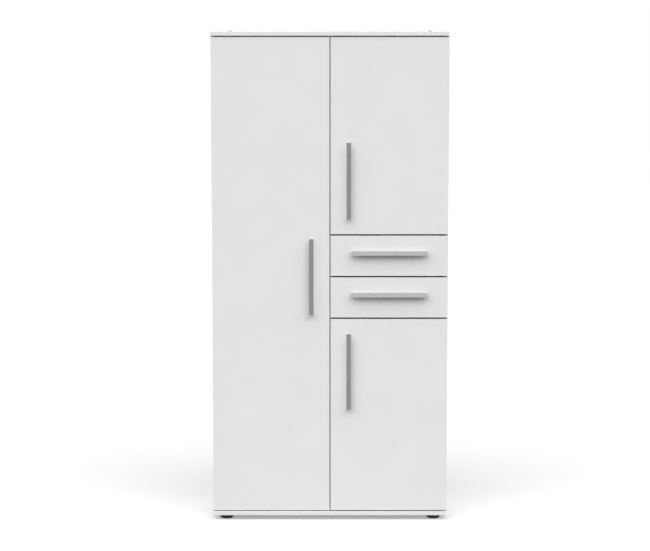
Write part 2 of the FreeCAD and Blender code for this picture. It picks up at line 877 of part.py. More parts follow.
def handle_profile():
    """A drawn metal pull: a face plate, a web back to the board along one side, and a foot for the screws."""
    body = new_body("handle_master")
    sketch = new_sketch(body, "handle_section", "YZ_Plane")
    side = "handle_width / 2"
    inside = f"{side} - handle_web"
    plate_back = "handle_plate - handle_projection"
    polygon(sketch, [
        ("0", side),
        ("-handle_projection", side),
        ("-handle_projection", f"-{side}"),
        (plate_back, f"-{side}"),
        (plate_back, inside),
        ("-handle_foot", inside),
        ("-handle_foot", f"{side} - handle_foot_height"),
        ("0", f"{side} - handle_foot_height"),
    ])
    bar = pad(body, sketch, "handle_length", middle=True)
    doc.recompute()
    front = value("-handle_projection")
    bar = fillet(body, bar, edges_where(bar.Shape, lambda middle, way: (
        abs(way.x) > 0.9 and abs(middle.y - front) < 0.1
    )), "handle_edge_radius")
    doc.recompute()
    inner = value(inside)
    fillet(body, bar, edges_where(bar.Shape, lambda middle, way: (
        abs(way.x) > 0.9 and abs(middle.z - inner) < 0.1
    )), "handle_corner_radius")
    threads = new_sketch(body, "handle_threads", "XZ_Plane")
    for way in (-1, 1):
        circle(threads, f"{way} * handle_spacing / 2", "handle_screw_place", "handle_screw_radius")
    pocket(body, threads, "2 * handle_screw_grip", middle=True)
    return body


def make_handles():
    """One pull on each front, held by two screws through the board."""
    master = handle_profile()
    screw = turned("handle_screw_master", [
        ("0", "-door_board - handle_screw_grip"),
        ("handle_screw_radius", "-door_board - handle_screw_grip"),
        ("handle_screw_radius", "0"),
        ("handle_screw_head_radius", "0"),
        ("handle_screw_head_radius", "handle_screw_head / 2"),
        ("handle_screw_head_radius / 2", "handle_screw_head"),
        ("0", "handle_screw_head"),
    ])
    for label, (board, x, z, closed) in HANDLES.items():
        members = [copy_of(master, label + "_bar", (x, "door_face", z), closed)]
        screw_row = moved((x, "door_back", z), closed, "handle_screw_place")
        along = "X" if closed == "+Z" else "Z"
        for way in "-+":
            at = moved(screw_row, way + along, "handle_spacing / 2")
            bore(board, "handles", at, "handle_hole_radius", "door_board", "-Y")
            members.append(copy_of(screw, f"{label}_screw{len(members)}", at, "+Y"))
        node(label, group(label, members))


def make_fronts():
    """The doors and the drawer fronts, with softened front edges."""
    for board, (x, foot, height) in FRONTS.items():
        body = new_body(board + "_blank")
        sketch = new_sketch(body, board + "_outline", "XY_Plane")
        rectangle(sketch, ("0", "0"), ("front_width", "door_board"))
        blank = pad(body, sketch, height)
        doc.recompute()
        face_edges = edges_where(blank.Shape, lambda middle, way: abs(middle.y) < 0.1)
        fillet(body, blank, face_edges, "front_edge_radius")
        place(body, (x, "door_face", foot))
        node(board, drilled(board, body, *bores[board].values()))


def make_bumpers():
    """Soft dots on the partition's front edge, where the free edges of the doors close."""
    edge = "(partition_half + column_gap / 2) / 2"
    ends = {
        f"-{edge}": ("lower_door_foot", "front_head"),
        edge: ("lower_door_foot", "lower_door_head", "upper_door_foot", "front_head"),
    }
    members = []
    for x, heights in ends.items():
        for height in heights:
            inward = "+" if height.endswith("foot") else "-"
            at = (x, "carcass_front", f"{height} {inward} bumper_inset")
            members.append(cylinder(f"bumper{len(members)}", at, "bumper_radius", "bumper_thickness", "-Y"))
    node("door_bumpers", group("door_bumpers", members))


# Drawers and their runners --------------------------------------------------------------------------------

DRAWERS = ("upper_drawer", "lower_drawer")


def drawer_side_foot(drawer):
    return f"{drawer}_foot + rail_rise + track_top - track_drop"


def make_drawer_boxes():
    """Grooved sides, a back that stands on the bottom, and a bottom held in the grooves and in the front."""
    groove_height = "drawer_bottom_board + drawer_bottom_clearance"
    for drawer in DRAWERS:
        foot = drawer_side_foot(drawer)
        bottom = f"{foot} + drawer_groove_rise"
        inner_left = "drawer_box_left + drawer_side_board"
        inner_right = "drawer_box_right - drawer_side_board"
        for side, x, groove_x in (
            ("left", "drawer_box_left", f"{inner_left} - drawer_groove_depth"),
            ("right", inner_right, inner_right),
        ):
            label = f"{drawer}_{side}_side"
            low = (x, "door_back", foot)
            size = ("drawer_side_board", "drawer_side_length", "drawer_side_height")
            blank = box(label + "_blank", low, *size)
            low = (groove_x, "door_back", bottom)
            slot(label, "grooves", low, "drawer_groove_depth", "drawer_side_length", groove_height)
            for y in RAIL_SCREW_ROWS:
                at = (TRACK_SCREW_X[side], y, foot)
                bore(label, "screws", at, "screw_radius", "track_screw_length - rail_steel", "+Z")
            node(label, drilled(label, blank, *bores[label].values()))
        across = f"{inner_right} - ({inner_left})"
        back_foot = f"{bottom} + {groove_height}"
        low = (inner_left, "drawer_box_back - drawer_side_board", back_foot)
        back_height = f"drawer_side_height - drawer_groove_rise - ({groove_height})"
        node(f"{drawer}_back", box(f"{drawer}_back", low, across, "drawer_side_board", back_height))
        reach = "drawer_groove_depth - drawer_bottom_clearance"
        low = (f"{inner_left} - ({reach})", f"door_back - ({reach})", bottom)
        width = f"{across} + 2 * ({reach})"
        length = f"drawer_side_length + {reach}"
        node(f"{drawer}_bottom", box(f"{drawer}_bottom", low, width, length, "drawer_bottom_board"))
        low = (f"{inner_left} - drawer_groove_depth", "door_back - drawer_groove_depth", bottom)
        width = f"{across} + 2 * drawer_groove_depth"
        slot(f"{drawer}_front", "grooves", low, width, "drawer_groove_depth", groove_height)


TRACK_SCREW_PLACE = "runner_gap + drawer_side_board / 2"
TRACK_SCREW_X = {
    "left": f"partition_half + {TRACK_SCREW_PLACE}",
    "right": f"right_inner - ({TRACK_SCREW_PLACE})",
}
RAIL_SCREW_ROWS = ("rail_front + rail_screw_inset", "rail_front + rail_length - rail_screw_inset")
# the rollers of one side, in the rail's own frame: distance from the front end and height
CABINET_ROLLER = ("roller_end_inset", "track_top - rail_steel - roller_clearance - roller_radius")
DRAWER_ROLLER = ("rail_length - roller_end_inset", "rail_steel + roller_clearance + roller_radius")


def folded(name, corners):
    """A rail folded from sheet: an outline across the rail, drawn out along it."""
    body = new_body(name)
    sketch = new_sketch(body, name + "_profile", "XZ_Plane")
    polygon(sketch, corners)
    pad(body, sketch, "rail_length", reverse=True)
    return body


def rail_master():
    """The cabinet's rail, a channel with its foot cut away for the roller at the front end."""
    blank = folded("cabinet_rail_blank", [
        ("0", "0"),
        ("rail_flange", "0"),
        ("rail_flange", "rail_steel"),
        ("rail_steel", "rail_steel"),
        ("rail_steel", "rail_height - rail_steel"),
        ("rail_flange", "rail_height - rail_steel"),
        ("rail_flange", "rail_height"),
        ("0", "rail_height"),
    ])
    notch = box("cabinet_rail_notch", ("rail_steel", "0", "0"), "rail_flange", "rail_end_cut", "rail_steel")
    holes = [cylinder("cabinet_rail_axle_hole", ("0", *CABINET_ROLLER), "axle_radius", "rail_steel", "+X")]
    for index, y in enumerate(("rail_screw_inset", "rail_length - rail_screw_inset")):
        at = ("0", y, "rail_height / 2")
        holes.append(cylinder(f"cabinet_rail_hole{index}", at, "screw_radius", "rail_steel", "+X"))
    return drilled("cabinet_rail_master", blank, [notch], holes)


def track_master():
    """The drawer's rail: a track over the cabinet's roller, a wall, and a shelf under the drawer side."""
    blank = folded("drawer_track_blank", [
        ("track_lip_place", "track_top - track_lip"),
        ("track_lip_place + rail_steel", "track_top - track_lip"),
        ("track_lip_place + rail_steel", "track_top - rail_steel"),
        ("runner_gap - rail_steel", "track_top - rail_steel"),
        ("runner_gap - rail_steel", "track_top - track_drop - rail_steel"),
        ("runner_gap + track_shelf", "track_top - track_drop - rail_steel"),
        ("runner_gap + track_shelf", "track_top - track_drop"),
        ("runner_gap", "track_top - track_drop"),
        ("runner_gap", "track_top"),
        ("track_lip_place", "track_top"),
    ])
    low = ("0", "rail_length - rail_end_cut", "track_top - track_lip")
    end_cut = box("drawer_track_end_cut", low, "runner_gap - rail_steel", "rail_end_cut", "track_lip")
    at = ("runner_gap", *DRAWER_ROLLER)
    axle_hole = cylinder("drawer_track_axle_hole", at, "axle_radius", "rail_steel", "-X")
    shelf_foot = "track_top - track_drop - rail_steel"
    holes = [axle_hole]
    for index, y in enumerate(("rail_screw_inset", "rail_length - rail_screw_inset")):
        at = (TRACK_SCREW_PLACE, y, shelf_foot)
        holes.append(cylinder(f"drawer_track_hole{index}", at, "screw_radius", "rail_steel", "+Z"))
    return drilled("drawer_track_master", blank, [end_cut], holes)


def axle(name, length):
    """A riveted axle along its own Z axis, with its head at the far end."""
    return turned(name, [
        ("0", "0"),
        ("axle_radius", "0"),
        ("axle_radius", length),
        ("axle_head_radius", length),
        ("axle_head_radius", f"{length} + axle_head"),
        ("0", f"{length} + axle_head"),
    ])


def make_runners():
    """A pair of rails and a pair of rollers on each drawer, and the same on the cabinet beside it."""
    roller = turned("roller_master", [
        ("axle_radius + roller_bore_clearance", "0"),
        ("roller_radius - roller_chamfer", "0"),
        ("roller_radius", "roller_chamfer"),
        ("roller_radius", "roller_width - roller_chamfer"),
        ("roller_radius - roller_chamfer", "roller_width"),
        ("axle_radius + roller_bore_clearance", "roller_width"),
    ])
    cabinet_axle = axle("cabinet_axle_master", "roller_place + roller_width + axle_head_clearance")
    drawer_axle = axle("drawer_axle_master", "runner_gap - roller_place + axle_head_clearance")
    track_screw = turned("track_screw_master", screw_profile("track_screw_length", "screw_head"))
    rails = {"left": rail_master()}
    tracks = {"left": track_master()}
    doc.recompute()
    rails["right"] = mirrored("cabinet_rail_mirrored", rails["left"], "0")
    tracks["right"] = mirrored("drawer_track_mirrored", tracks["left"], "0")
    cabinet_members = []
    for drawer in DRAWERS:
        drawer_members = []
        cabinet_rollers = []
        drawer_rollers = []
        rail_foot = f"{drawer}_foot + rail_rise"
        for side, wall, inward, board in (
            ("left", "partition_half", "+X", "centre_partition"),
            ("right", "right_inner", "-X", "right_side_panel"),
        ):
            name = f"{drawer}_{side}"
            start = (wall, "rail_front", rail_foot)
            roller_at = [
                moved((wall, f"rail_front + {y}", f"{rail_foot} + {z}"), inward, "roller_place")
                for y, z in (CABINET_ROLLER, DRAWER_ROLLER)
            ]
            cabinet_members.append(copy_of(rails[side], name + "_rail", start))
            at = moved(roller_at[0], opposite(inward), "roller_place")
            cabinet_members.append(copy_of(cabinet_axle, name + "_axle", at, inward))
            drawer_members.append(copy_of(tracks[side], name + "_track", start))
            at = moved(roller_at[1], inward, "runner_gap - roller_place")
            drawer_members.append(copy_of(drawer_axle, name + "_track_axle", at, opposite(inward)))
            cabinet_rollers.append(copy_of(roller, name + "_roller", roller_at[0], inward))
            drawer_rollers.append(copy_of(roller, name + "_track_roller", roller_at[1], inward))
            for index, y in enumerate(RAIL_SCREW_ROWS):
                at = (TRACK_SCREW_X[side], y, f"{drawer_side_foot(drawer)} - rail_steel")
                drawer_members.append(copy_of(track_screw, f"{name}_track_screw{index}", at, "-Z"))
                at = (wall, y, f"{rail_foot} + rail_height / 2")
                bore(board, "rail_screws", at, "screw_radius", "screw_length - rail_steel", opposite(inward))
                carcass_screws.append(("rail", moved(at, inward, "rail_steel"), inward))
        node(f"{drawer}_rails", group(f"{drawer}_rails", drawer_members))
        node(f"{drawer}_cabinet_rollers", group(f"{drawer}_cabinet_rollers", cabinet_rollers))
        node(f"{drawer}_rollers", group(f"{drawer}_rollers", drawer_rollers))
    node("cabinet_rails", group("cabinet_rails", cabinet_members))


# Hinges ---------------------------------------------------------------------------------------------------
# A hinge has a frame of its own: X runs inwards from the cabinet's outer side, Y back from the door's face.

# each door's hinges, as shares of the way from its lowest hinge to its highest
HINGE_ROWS = {
    "left_door": ("0", "1 / 3", "2 / 3", "1"),
    "upper_door": ("0", "1"),
    "lower_door": ("0", "1"),
}
SIDE_PANELS = {
    "left_door": "left_side_panel",
    "upper_door": "right_side_panel",
    "lower_door": "right_side_panel",
}


def hinge_heights(door):
    _, foot, height = FRONTS[door]
    way = f"({height} - 2 * hinge_end_margin)"
    return [f"{foot} + hinge_end_margin + {share} * {way}" for share in HINGE_ROWS[door]]


def at_hinge(door, height, x, y, rise="0"):
    """A point given in a hinge's own frame, as a point of the cabinet."""
    across = f"-right_face + {x}" if door == "left_door" else f"right_face - ({x})"
    return (across, f"door_face + {y}", f"{height} + {rise}")


def at_hinges(master, name, door):
    """One copy of a hinge piece at each hinge of a door."""
    turn = FreeCAD.Rotation(FreeCAD.Vector(0, 1, 0), 0 if door == "left_door" else 180)
    return [
        copy_of(master, f"{name}{index}", at_hinge(door, height, "0", "0"), turn=turn)
        for index, height in enumerate(hinge_heights(door))
    ]


def link_pins(outer, inner, reach):
    """The pins of one side of the links: two short ones for the outer link's plates and one right across.

    outer and inner begin the names of the pins' places, and reach is how far out their ends lie.
    """
    length = f"{reach} - outer_link_start"
    starts = ("outer_link_start", f"-({reach})")
    pins_made = [
        cylinder(f"{outer}_short{index}", (f"{outer}_x", f"{outer}_y", foot), "hinge_pin_radius", length)
        for index, foot in enumerate(starts)
    ]
    across = (f"{inner}_x", f"{inner}_y", f"-({reach})")
    return [*pins_made, cylinder(f"{inner}_long", across, "hinge_pin_radius", f"2 * ({reach})")]


def make_cups():
    """A cup pressed into each door at each hinge, with two wings that are screwed on."""
    bowl = turned("cup_bowl", [
        ("0", "0"),
        ("cup_radius", "0"),
        ("cup_radius", "cup_depth"),
        ("cup_radius - cup_wall", "cup_depth"),
        ("cup_radius - cup_wall", "cup_wall"),
        ("0", "cup_wall"),
    ])
    place(bowl, ("cup_place", "door_board - cup_depth", "0"), "+Y")
    wings = new_body("cup_wings")
    sketch = new_sketch(wings, "cup_wings_outline", "XZ_Plane")
    polygon(sketch, [
        ("-cup_flange_start", "-cup_flange_waist / 2"),
        ("cup_flange_start", "-cup_flange_span / 2"),
        ("cup_flange_reach", "-cup_flange_span / 2"),
        ("cup_flange_reach", "cup_flange_span / 2"),
        ("cup_flange_start", "cup_flange_span / 2"),
        ("-cup_flange_start", "cup_flange_waist / 2"),
    ])
    pad(wings, sketch, "cup_flange", reverse=True)
    mouth = new_sketch(wings, "cup_mouth", "XZ_Plane")
    circle(mouth, "0", "0", "cup_radius - cup_wall")
    for side in (-1, 1):
        circle(mouth, "cup_screw_setback", f"{side} * cup_screw_spacing / 2", "screw_radius")
    pocket(wings, mouth, "4 * cup_flange", middle=True)
    place(wings, ("cup_place", "door_board", "0"))
    cheeks = []
    seats = []
    for index, foot in enumerate(("cheek_start", "-cheek_start - cheek_steel")):
        low = ("cup_place - cheek_offset", "door_board - cup_depth + cup_wall", foot)
        cheeks.append(box(f"cup_cheek{index}", low, "cheek_length", "cup_depth - cup_wall", "cheek_steel"))
    for kind in ("outer", "inner"):
        for index, foot in enumerate(("cheek_start", "-cheek_start - hinge_pin_seat")):
            at = (f"{kind}_pin_x", f"{kind}_pin_y", foot)
            seats.append(cylinder(f"cup_{kind}_seat{index}", at, "hinge_pin_radius", "hinge_pin_seat"))
    blank = doc.addObject("Part::MultiFuse", "cup_blank")
    blank.Shapes = [bowl, wings, *cheeks]
    cup_pins = link_pins("outer_pin", "inner_pin", "cheek_start + hinge_pin_seat")
    cup = group("cup_set", [drilled("cup_master", blank, seats), *cup_pins])
    screw_master = turned("cup_screw_master", screw_profile("screw_length", "screw_head"))
    for door in HINGE_ROWS:
        members = at_hinges(cup, f"{door}_cup", door)
        for height in hinge_heights(door):
            centre = at_hinge(door, height, "cup_place", "door_board")
            bore(door, "cups", centre, "cup_radius", "cup_depth", "-Y")
            for side in (-1, 1):
                rise = f"{side} * cup_screw_spacing / 2"
                at = at_hinge(door, height, "cup_place + cup_screw_setback", "door_board", rise)
                bore(door, "screws", at, "screw_radius", "screw_length - cup_flange", "-Y")
                at = moved(at, "+Y", "cup_flange")
                members.append(copy_of(screw_master, f"{door}_cup_screw{len(members)}", at, "+Y"))
        node(f"{door}_hinge_cups", group(f"{door}_hinge_cups", members))


def make_plates():
    """A cross-shaped plate for each hinge, screwed to the side panel behind its front edge."""
    body = new_body("plate_master")
    sketch = new_sketch(body, "plate_outline", "YZ_Plane")
    half_wing = "plate_wing_length / 2"
    polygon(sketch, [
        (f"-{half_wing}", "-plate_width / 2"),
        (f"-{half_wing}", "-plate_wing_span / 2"),
        (half_wing, "-plate_wing_span / 2"),
        (half_wing, "-plate_width / 2"),
        (f"plate_length - {half_wing}", "-plate_width / 2"),
        (f"plate_length - {half_wing}", "plate_width / 2"),
        (half_wing, "plate_width / 2"),
        (half_wing, "plate_wing_span / 2"),
        (f"-{half_wing}", "plate_wing_span / 2"),
        (f"-{half_wing}", "plate_width / 2"),
    ])
    pad(body, sketch, "plate_steel")
    holes = new_sketch(body, "plate_holes", "YZ_Plane")
    for side in (-1, 1):
        circle(holes, "0", f"{side} * plate_screw_spacing / 2", "screw_radius")
    circle(holes, "arm_screw_place - plate_place", "0", "screw_radius")
    pocket(body, holes, "4 * plate_steel", middle=True)
    place(body, ("side_board", "plate_place", "0"))
    members = []
    for door, board in SIDE_PANELS.items():
        inward = "+X" if door == "left_door" else "-X"
        members += at_hinges(group(f"{door}_plate", [body]), f"{door}_plate", door)
        for height in hinge_heights(door):
            for side in (-1, 1):
                rise = f"{side} * plate_screw_spacing / 2"
                at = at_hinge(door, height, "side_board", "plate_place", rise)
                grip = "screw_length - plate_steel"
                bore(board, "hinge_screws", at, "screw_radius", grip, opposite(inward))
                carcass_screws.append(("wood", moved(at, inward, "plate_steel"), inward))
    node("hinge_plates", group("hinge_plates", members))


def arm_channel():
    """The arm: a folded channel that stands on its plate and holds the links' pins in its two noses."""
    body = new_body("arm_channel")
    sketch = new_sketch(body, "arm_outline", "XY_Plane")
    web = "outer_pivot_x + arm_web_clearance"
    rear = "plate_top + arm_rear_rise"
    front = "outer_pivot_y - arm_nose"
    slope_start = f"{front} + arm_front_length"
    slope_end = f"{slope_start} + arm_slope_length"
    nose_foot = "inner_pivot_y - arm_nose"
    polygon(sketch, [
        ("plate_top", "arm_seat_start"),
        ("inner_pivot_x - arm_nose", nose_foot),
        ("inner_pivot_x + arm_nose", nose_foot),
        ("outer_pivot_x - arm_throat", front),
        (f"{web} + arm_steel", front),
        (f"{web} + arm_steel", slope_start),
        (rear, slope_end),
        (rear, "arm_seat_end"),
        ("plate_top", "arm_seat_end"),
    ])
    blank = pad(body, sketch, "2 * arm_half", middle=True)
    doc.recompute()
    seat = value("plate_top")
    fillet(body, blank, edges_where(blank.Shape, lambda middle, way: (
        abs(way.z) > 0.9 and middle.x > seat + 0.1
    )), "arm_corner_radius")
    channel = new_sketch(body, "arm_channel_outline", "XY_Plane")
    polygon(channel, [
        ("0", "0"),
        (web, "0"),
        (web, slope_start),
        (f"{rear} - arm_steel", slope_end),
        (f"{rear} - arm_steel", "arm_seat_end + arm_steel"),
        ("0", "arm_seat_end + arm_steel"),
    ])
    pocket(body, channel, "2 * arm_channel_half", middle=True)
    pin_holes = new_sketch(body, "arm_pin_holes", "XY_Plane")
    circle(pin_holes, "outer_pivot_x", "outer_pivot_y", "hinge_pin_radius")
    circle(pin_holes, "inner_pivot_x", "inner_pivot_y", "hinge_pin_radius")
    pocket(body, pin_holes, "4 * arm_half", middle=True)
    screw_hole = new_sketch(body, "arm_screw_hole", "YZ_Plane")
    circle(screw_hole, "arm_screw_place", "0", "screw_radius")
    pocket(body, screw_hole, f"4 * ({rear})", middle=True)
    return body


def make_arms():
    """An arm on each plate, with its screw and the pins of its links."""
    screw = turned("arm_screw_master", screw_profile("arm_rear_rise + plate_steel", "screw_head"))
    at = ("plate_top + arm_rear_rise", "arm_screw_place", "0")
    arm = group("arm_set", [
        arm_channel(),
        copy_of(screw, "arm_screw", at, "+X"),
        *link_pins("outer_pivot", "inner_pivot", "arm_half"),
    ])
    node("hinge_arms", group("hinge_arms", [
        copy for door in HINGE_ROWS for copy in at_hinges(arm, f"{door}_arm", door)
    ]))


def bent_link(name, corners, half_steel, height, eyes):
    """A bent link of one thickness along a line of corners, with an eye round each end.

    eyes gives the radius of the hole and of the boss at each end.
    """
    sketch = doc.addObject("Sketcher::SketchObject", name + "_line")
    polygon(sketch, corners, closed=False)
    outline = doc.addObject("Part::Offset2D", name + "_outline")
    outline.Source = sketch
    outline.Mode = "Pipe"
    outline.Join = "Arc"
    outline.Fill = True
    bind(outline, Value=half_steel)
    strip = doc.addObject("Part::Extrusion", name + "_strip")
    strip.Base = outline
    strip.DirMode = "Custom"
    strip.Dir = FreeCAD.Vector(0, 0, 1)
    strip.Solid = True
    bind(strip, LengthFwd=height)
    ends = [(*corner, "0") for corner in (corners[0], corners[-1])]
    blank = doc.addObject("Part::MultiFuse", name + "_blank")
    holes = []
    bosses = []
    for index, (at, (hole, boss)) in enumerate(zip(ends, eyes)):
        holes.append(cylinder(f"{name}_eye{index}", at, hole, height))
        bosses.append(cylinder(f"{name}_boss{index}", at, boss, height))
    blank.Shapes = [strip, *bosses]
    return drilled(name, blank, holes)


def make_links():
    """The two links of each hinge. The outer one is a pair of plates on either side of the inner one."""
    running_eye = ("hinge_pin_radius + link_eye_clearance", "link_boss_radius")
    open_eye = ("open_eye_radius", "open_eye_boss_radius")
    plate = bent_link("outer_link", [
        ("outer_pivot_x", "outer_pivot_y"),
        ("outer_pivot_x - outer_elbow_reach", "outer_pivot_y - outer_elbow_drop"),
        ("outer_pivot_x - outer_heel_reach", "outer_pivot_y - outer_heel_drop"),
        ("outer_pin_x + outer_neck_reach", "outer_pin_y - outer_neck_drop"),
        ("outer_pin_x", "outer_pin_y"),
    ], "outer_link_half_steel", "outer_link_width", (running_eye, running_eye))
    inner = bent_link("inner_link", [
        ("inner_pivot_x", "inner_pivot_y"),
        ("inner_pivot_x - inner_elbow_reach", "inner_pivot_y - inner_elbow_drop"),
        ("inner_pivot_x - inner_heel_reach", "inner_pivot_y - inner_heel_drop"),
        ("inner_pin_x - open_eye_offset", "inner_pin_y - open_eye_lead"),
    ], "inner_link_half_steel", "inner_link_width", (running_eye, open_eye))
    pair = group("outer_link_pair", [
        copy_of(plate, f"outer_link_plate{index}", ("0", "0", foot))
        for index, foot in enumerate(("outer_link_start", "-outer_link_start - outer_link_width"))
    ])
    low = ("0", "0", "-inner_link_width / 2")
    centred = group("inner_link_set", [copy_of(inner, "inner_link_plate", low)])
    for door in HINGE_ROWS:
        for kind, master in (("outer_link", pair), ("inner_link", centred)):
            label = f"{door}_{kind}s"
            node(label, group(label, at_hinges(master, f"{door}_{kind}", door)))


# The whole cabinet ----------------------------------------------------------------------------------------

join_uprights()
join_shelves()
seat_loose_shelves()
cut_grooves()
make_feet()
make_brackets()
make_bumpers()
make_runners()
make_handles()
make_drawer_boxes()
make_cups()
make_plates()
make_arms()
make_links()
make_fronts()
make_panels()
make_uprights()
make_shelves()
make_back_panels()
make_cams()
make_bolts_and_dowels()
make_shelf_pins()
make_screws()

doc.recompute()
for thing in doc.Objects:
    if {"Invalid", "Error"} & set(thing.State):
        raise ValueError(f"{thing.Label} failed: {thing.State}")
os.makedirs("parts", exist_ok=True)
for thing in nodes:
    if thing.Shape.isNull() or not thing.Shape.isValid():
        raise ValueError(f"{thing.Label} has no valid shape")
    thing.Shape.exportStep(f"parts/{thing.Label}.step")
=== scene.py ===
import json
import math

import bpy
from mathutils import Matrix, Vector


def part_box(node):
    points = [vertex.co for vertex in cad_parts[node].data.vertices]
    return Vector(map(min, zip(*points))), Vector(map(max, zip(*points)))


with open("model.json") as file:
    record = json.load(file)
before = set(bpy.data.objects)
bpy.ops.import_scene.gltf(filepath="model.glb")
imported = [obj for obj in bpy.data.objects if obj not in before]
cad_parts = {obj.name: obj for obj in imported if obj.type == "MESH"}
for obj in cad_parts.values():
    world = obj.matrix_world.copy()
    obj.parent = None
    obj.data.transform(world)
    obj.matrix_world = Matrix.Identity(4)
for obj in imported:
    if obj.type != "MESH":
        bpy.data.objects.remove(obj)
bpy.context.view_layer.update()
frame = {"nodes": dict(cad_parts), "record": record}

NODES = frame["nodes"]
SLOT_OF = {part["node"]: part["material_slot"] for part in frame["record"]["subparts"]}


# Node helpers ---------------------------------------------------------------------------------------------

class Shader:
    """A material's node tree, with short calls for the nodes used here."""

    def __init__(self, name):
        self.material = bpy.data.materials.new(name)
        self.material.use_nodes = True
        self.tree = self.material.node_tree
        self.tree.nodes.clear()
        self.output = self.tree.nodes.new("ShaderNodeOutputMaterial")

    def node(self, kind, **settings):
        made = self.tree.nodes.new(kind)
        for key, setting in settings.items():
            setattr(made, key, setting)
        return made

    def link(self, source, target):
        self.tree.links.new(source, target)

    def put(self, socket, content):
        """Feeds a socket from another socket or with a constant."""
        if isinstance(content, bpy.types.NodeSocket):
            self.link(content, socket)
        else:
            socket.default_value = content

    def math(self, operation, first, second=0.0):
        made = self.node("ShaderNodeMath", operation=operation)
        self.put(made.inputs[0], first)
        self.put(made.inputs[1], second)
        return made.outputs[0]

    def place(self, scale=(1, 1, 1)):
        """Coordinates in metres that stay with the piece, stretched along each axis."""
        coordinates = self.node("ShaderNodeTexCoord")
        mapping = self.node("ShaderNodeMapping")
        self.link(coordinates.outputs["Object"], mapping.inputs["Vector"])
        mapping.inputs["Scale"].default_value = scale
        return mapping.outputs[0]

    def noise(self, vector, scale, detail=2.0, roughness=0.5):
        made = self.node("ShaderNodeTexNoise")
        self.link(vector, made.inputs["Vector"])
        made.inputs["Scale"].default_value = scale
        made.inputs["Detail"].default_value = detail
        made.inputs["Roughness"].default_value = roughness
        return made.outputs["Fac"]

    def spread(self, value, low, high, start=0.3, end=0.7):
        """Turns a value between start and end, as a noise mostly is, into one between low and high."""
        made = self.node("ShaderNodeMapRange")
        self.put(made.inputs["Value"], value)
        made.inputs["From Min"].default_value = start
        made.inputs["From Max"].default_value = end
        made.inputs["To Min"].default_value = low
        made.inputs["To Max"].default_value = high
        return made.outputs["Result"]

    def blend(self, factor, first, second):
        """A colour between two others."""
        made = self.node("ShaderNodeMix", data_type="RGBA")
        self.put(made.inputs["Factor"], factor)
        colour_inputs = [socket for socket in made.inputs if socket.type == "RGBA"]
        self.put(colour_inputs[0], first)
        self.put(colour_inputs[1], second)
        return next(socket for socket in made.outputs if socket.type == "RGBA")

    def bump(self, height, strength, distance, normal=None):
        made = self.node("ShaderNodeBump")
        self.link(height, made.inputs["Height"])
        made.inputs["Strength"].default_value = strength
        made.inputs["Distance"].default_value = distance
        if normal is not None:
            self.link(normal, made.inputs["Normal"])
        return made.outputs["Normal"]

    def worn_edge(self, radius):
        """One on an edge, falling to nothing on flat faces."""
        bevel = self.node("ShaderNodeBevel", samples=6)
        bevel.inputs["Radius"].default_value = radius
        geometry = self.node("ShaderNodeNewGeometry")
        product = self.node("ShaderNodeVectorMath", operation="DOT_PRODUCT")
        self.link(bevel.outputs[0], product.inputs[0])
        self.link(geometry.outputs["Normal"], product.inputs[1])
        return self.spread(product.outputs["Value"], 1.0, 0.0, 0.90, 0.995)

    def painted_gap_shade(self, reach):
        """Painted shade: one deep in gaps narrower than reach, where shade falls, falling to nothing on
        open faces.
        """
        open_sky = self.node("ShaderNodeAmbientOcclusion", samples=8)
        open_sky.inputs["Distance"].default_value = reach
        return self.spread(open_sky.outputs["AO"], 1.0, 0.0, 0.25, 0.60)

    def part_along(self, vector, axis):
        """A vector's part along one axis."""
        parts = self.node("ShaderNodeSeparateXYZ")
        self.link(vector, parts.inputs[0])
        return parts.outputs[axis]

    def world_normal(self):
        """The face's normal in the room's axes."""
        return self.node("ShaderNodeNewGeometry").outputs["True Normal"]

    def own_normal(self):
        """The normal in the piece's own axes, which turn with a door."""
        return self.node("ShaderNodeTexCoord").outputs["Normal"]

    def surface(self, colour, roughness, metallic=0.0, normal=None, **constants):
        shader = self.node("ShaderNodeBsdfPrincipled")
        self.put(shader.inputs["Base Color"], colour)
        self.put(shader.inputs["Roughness"], roughness)
        shader.inputs["Metallic"].default_value = metallic
        for key, constant in constants.items():
            shader.inputs[key.replace("_", " ")].default_value = constant
        if normal is not None:
            self.link(normal, shader.inputs["Normal"])
        self.link(shader.outputs[0], self.output.inputs["Surface"])
        return shader


def grey(level, warmth=0.0):
    """A near-neutral colour, a little warmer where warmth is above zero."""
    return (level * (1 + warmth), level, level * (1 - warmth), 1)


# Materials ------------------------------------------------------------------------------------------------

# How far, in metres, the painted shade in a gap between two fronts looks for the other side, and the
# painted shade's tone
PAINTED_SHADE_REACH = 0.012
PAINTED_SHADE_TONE = 0.04


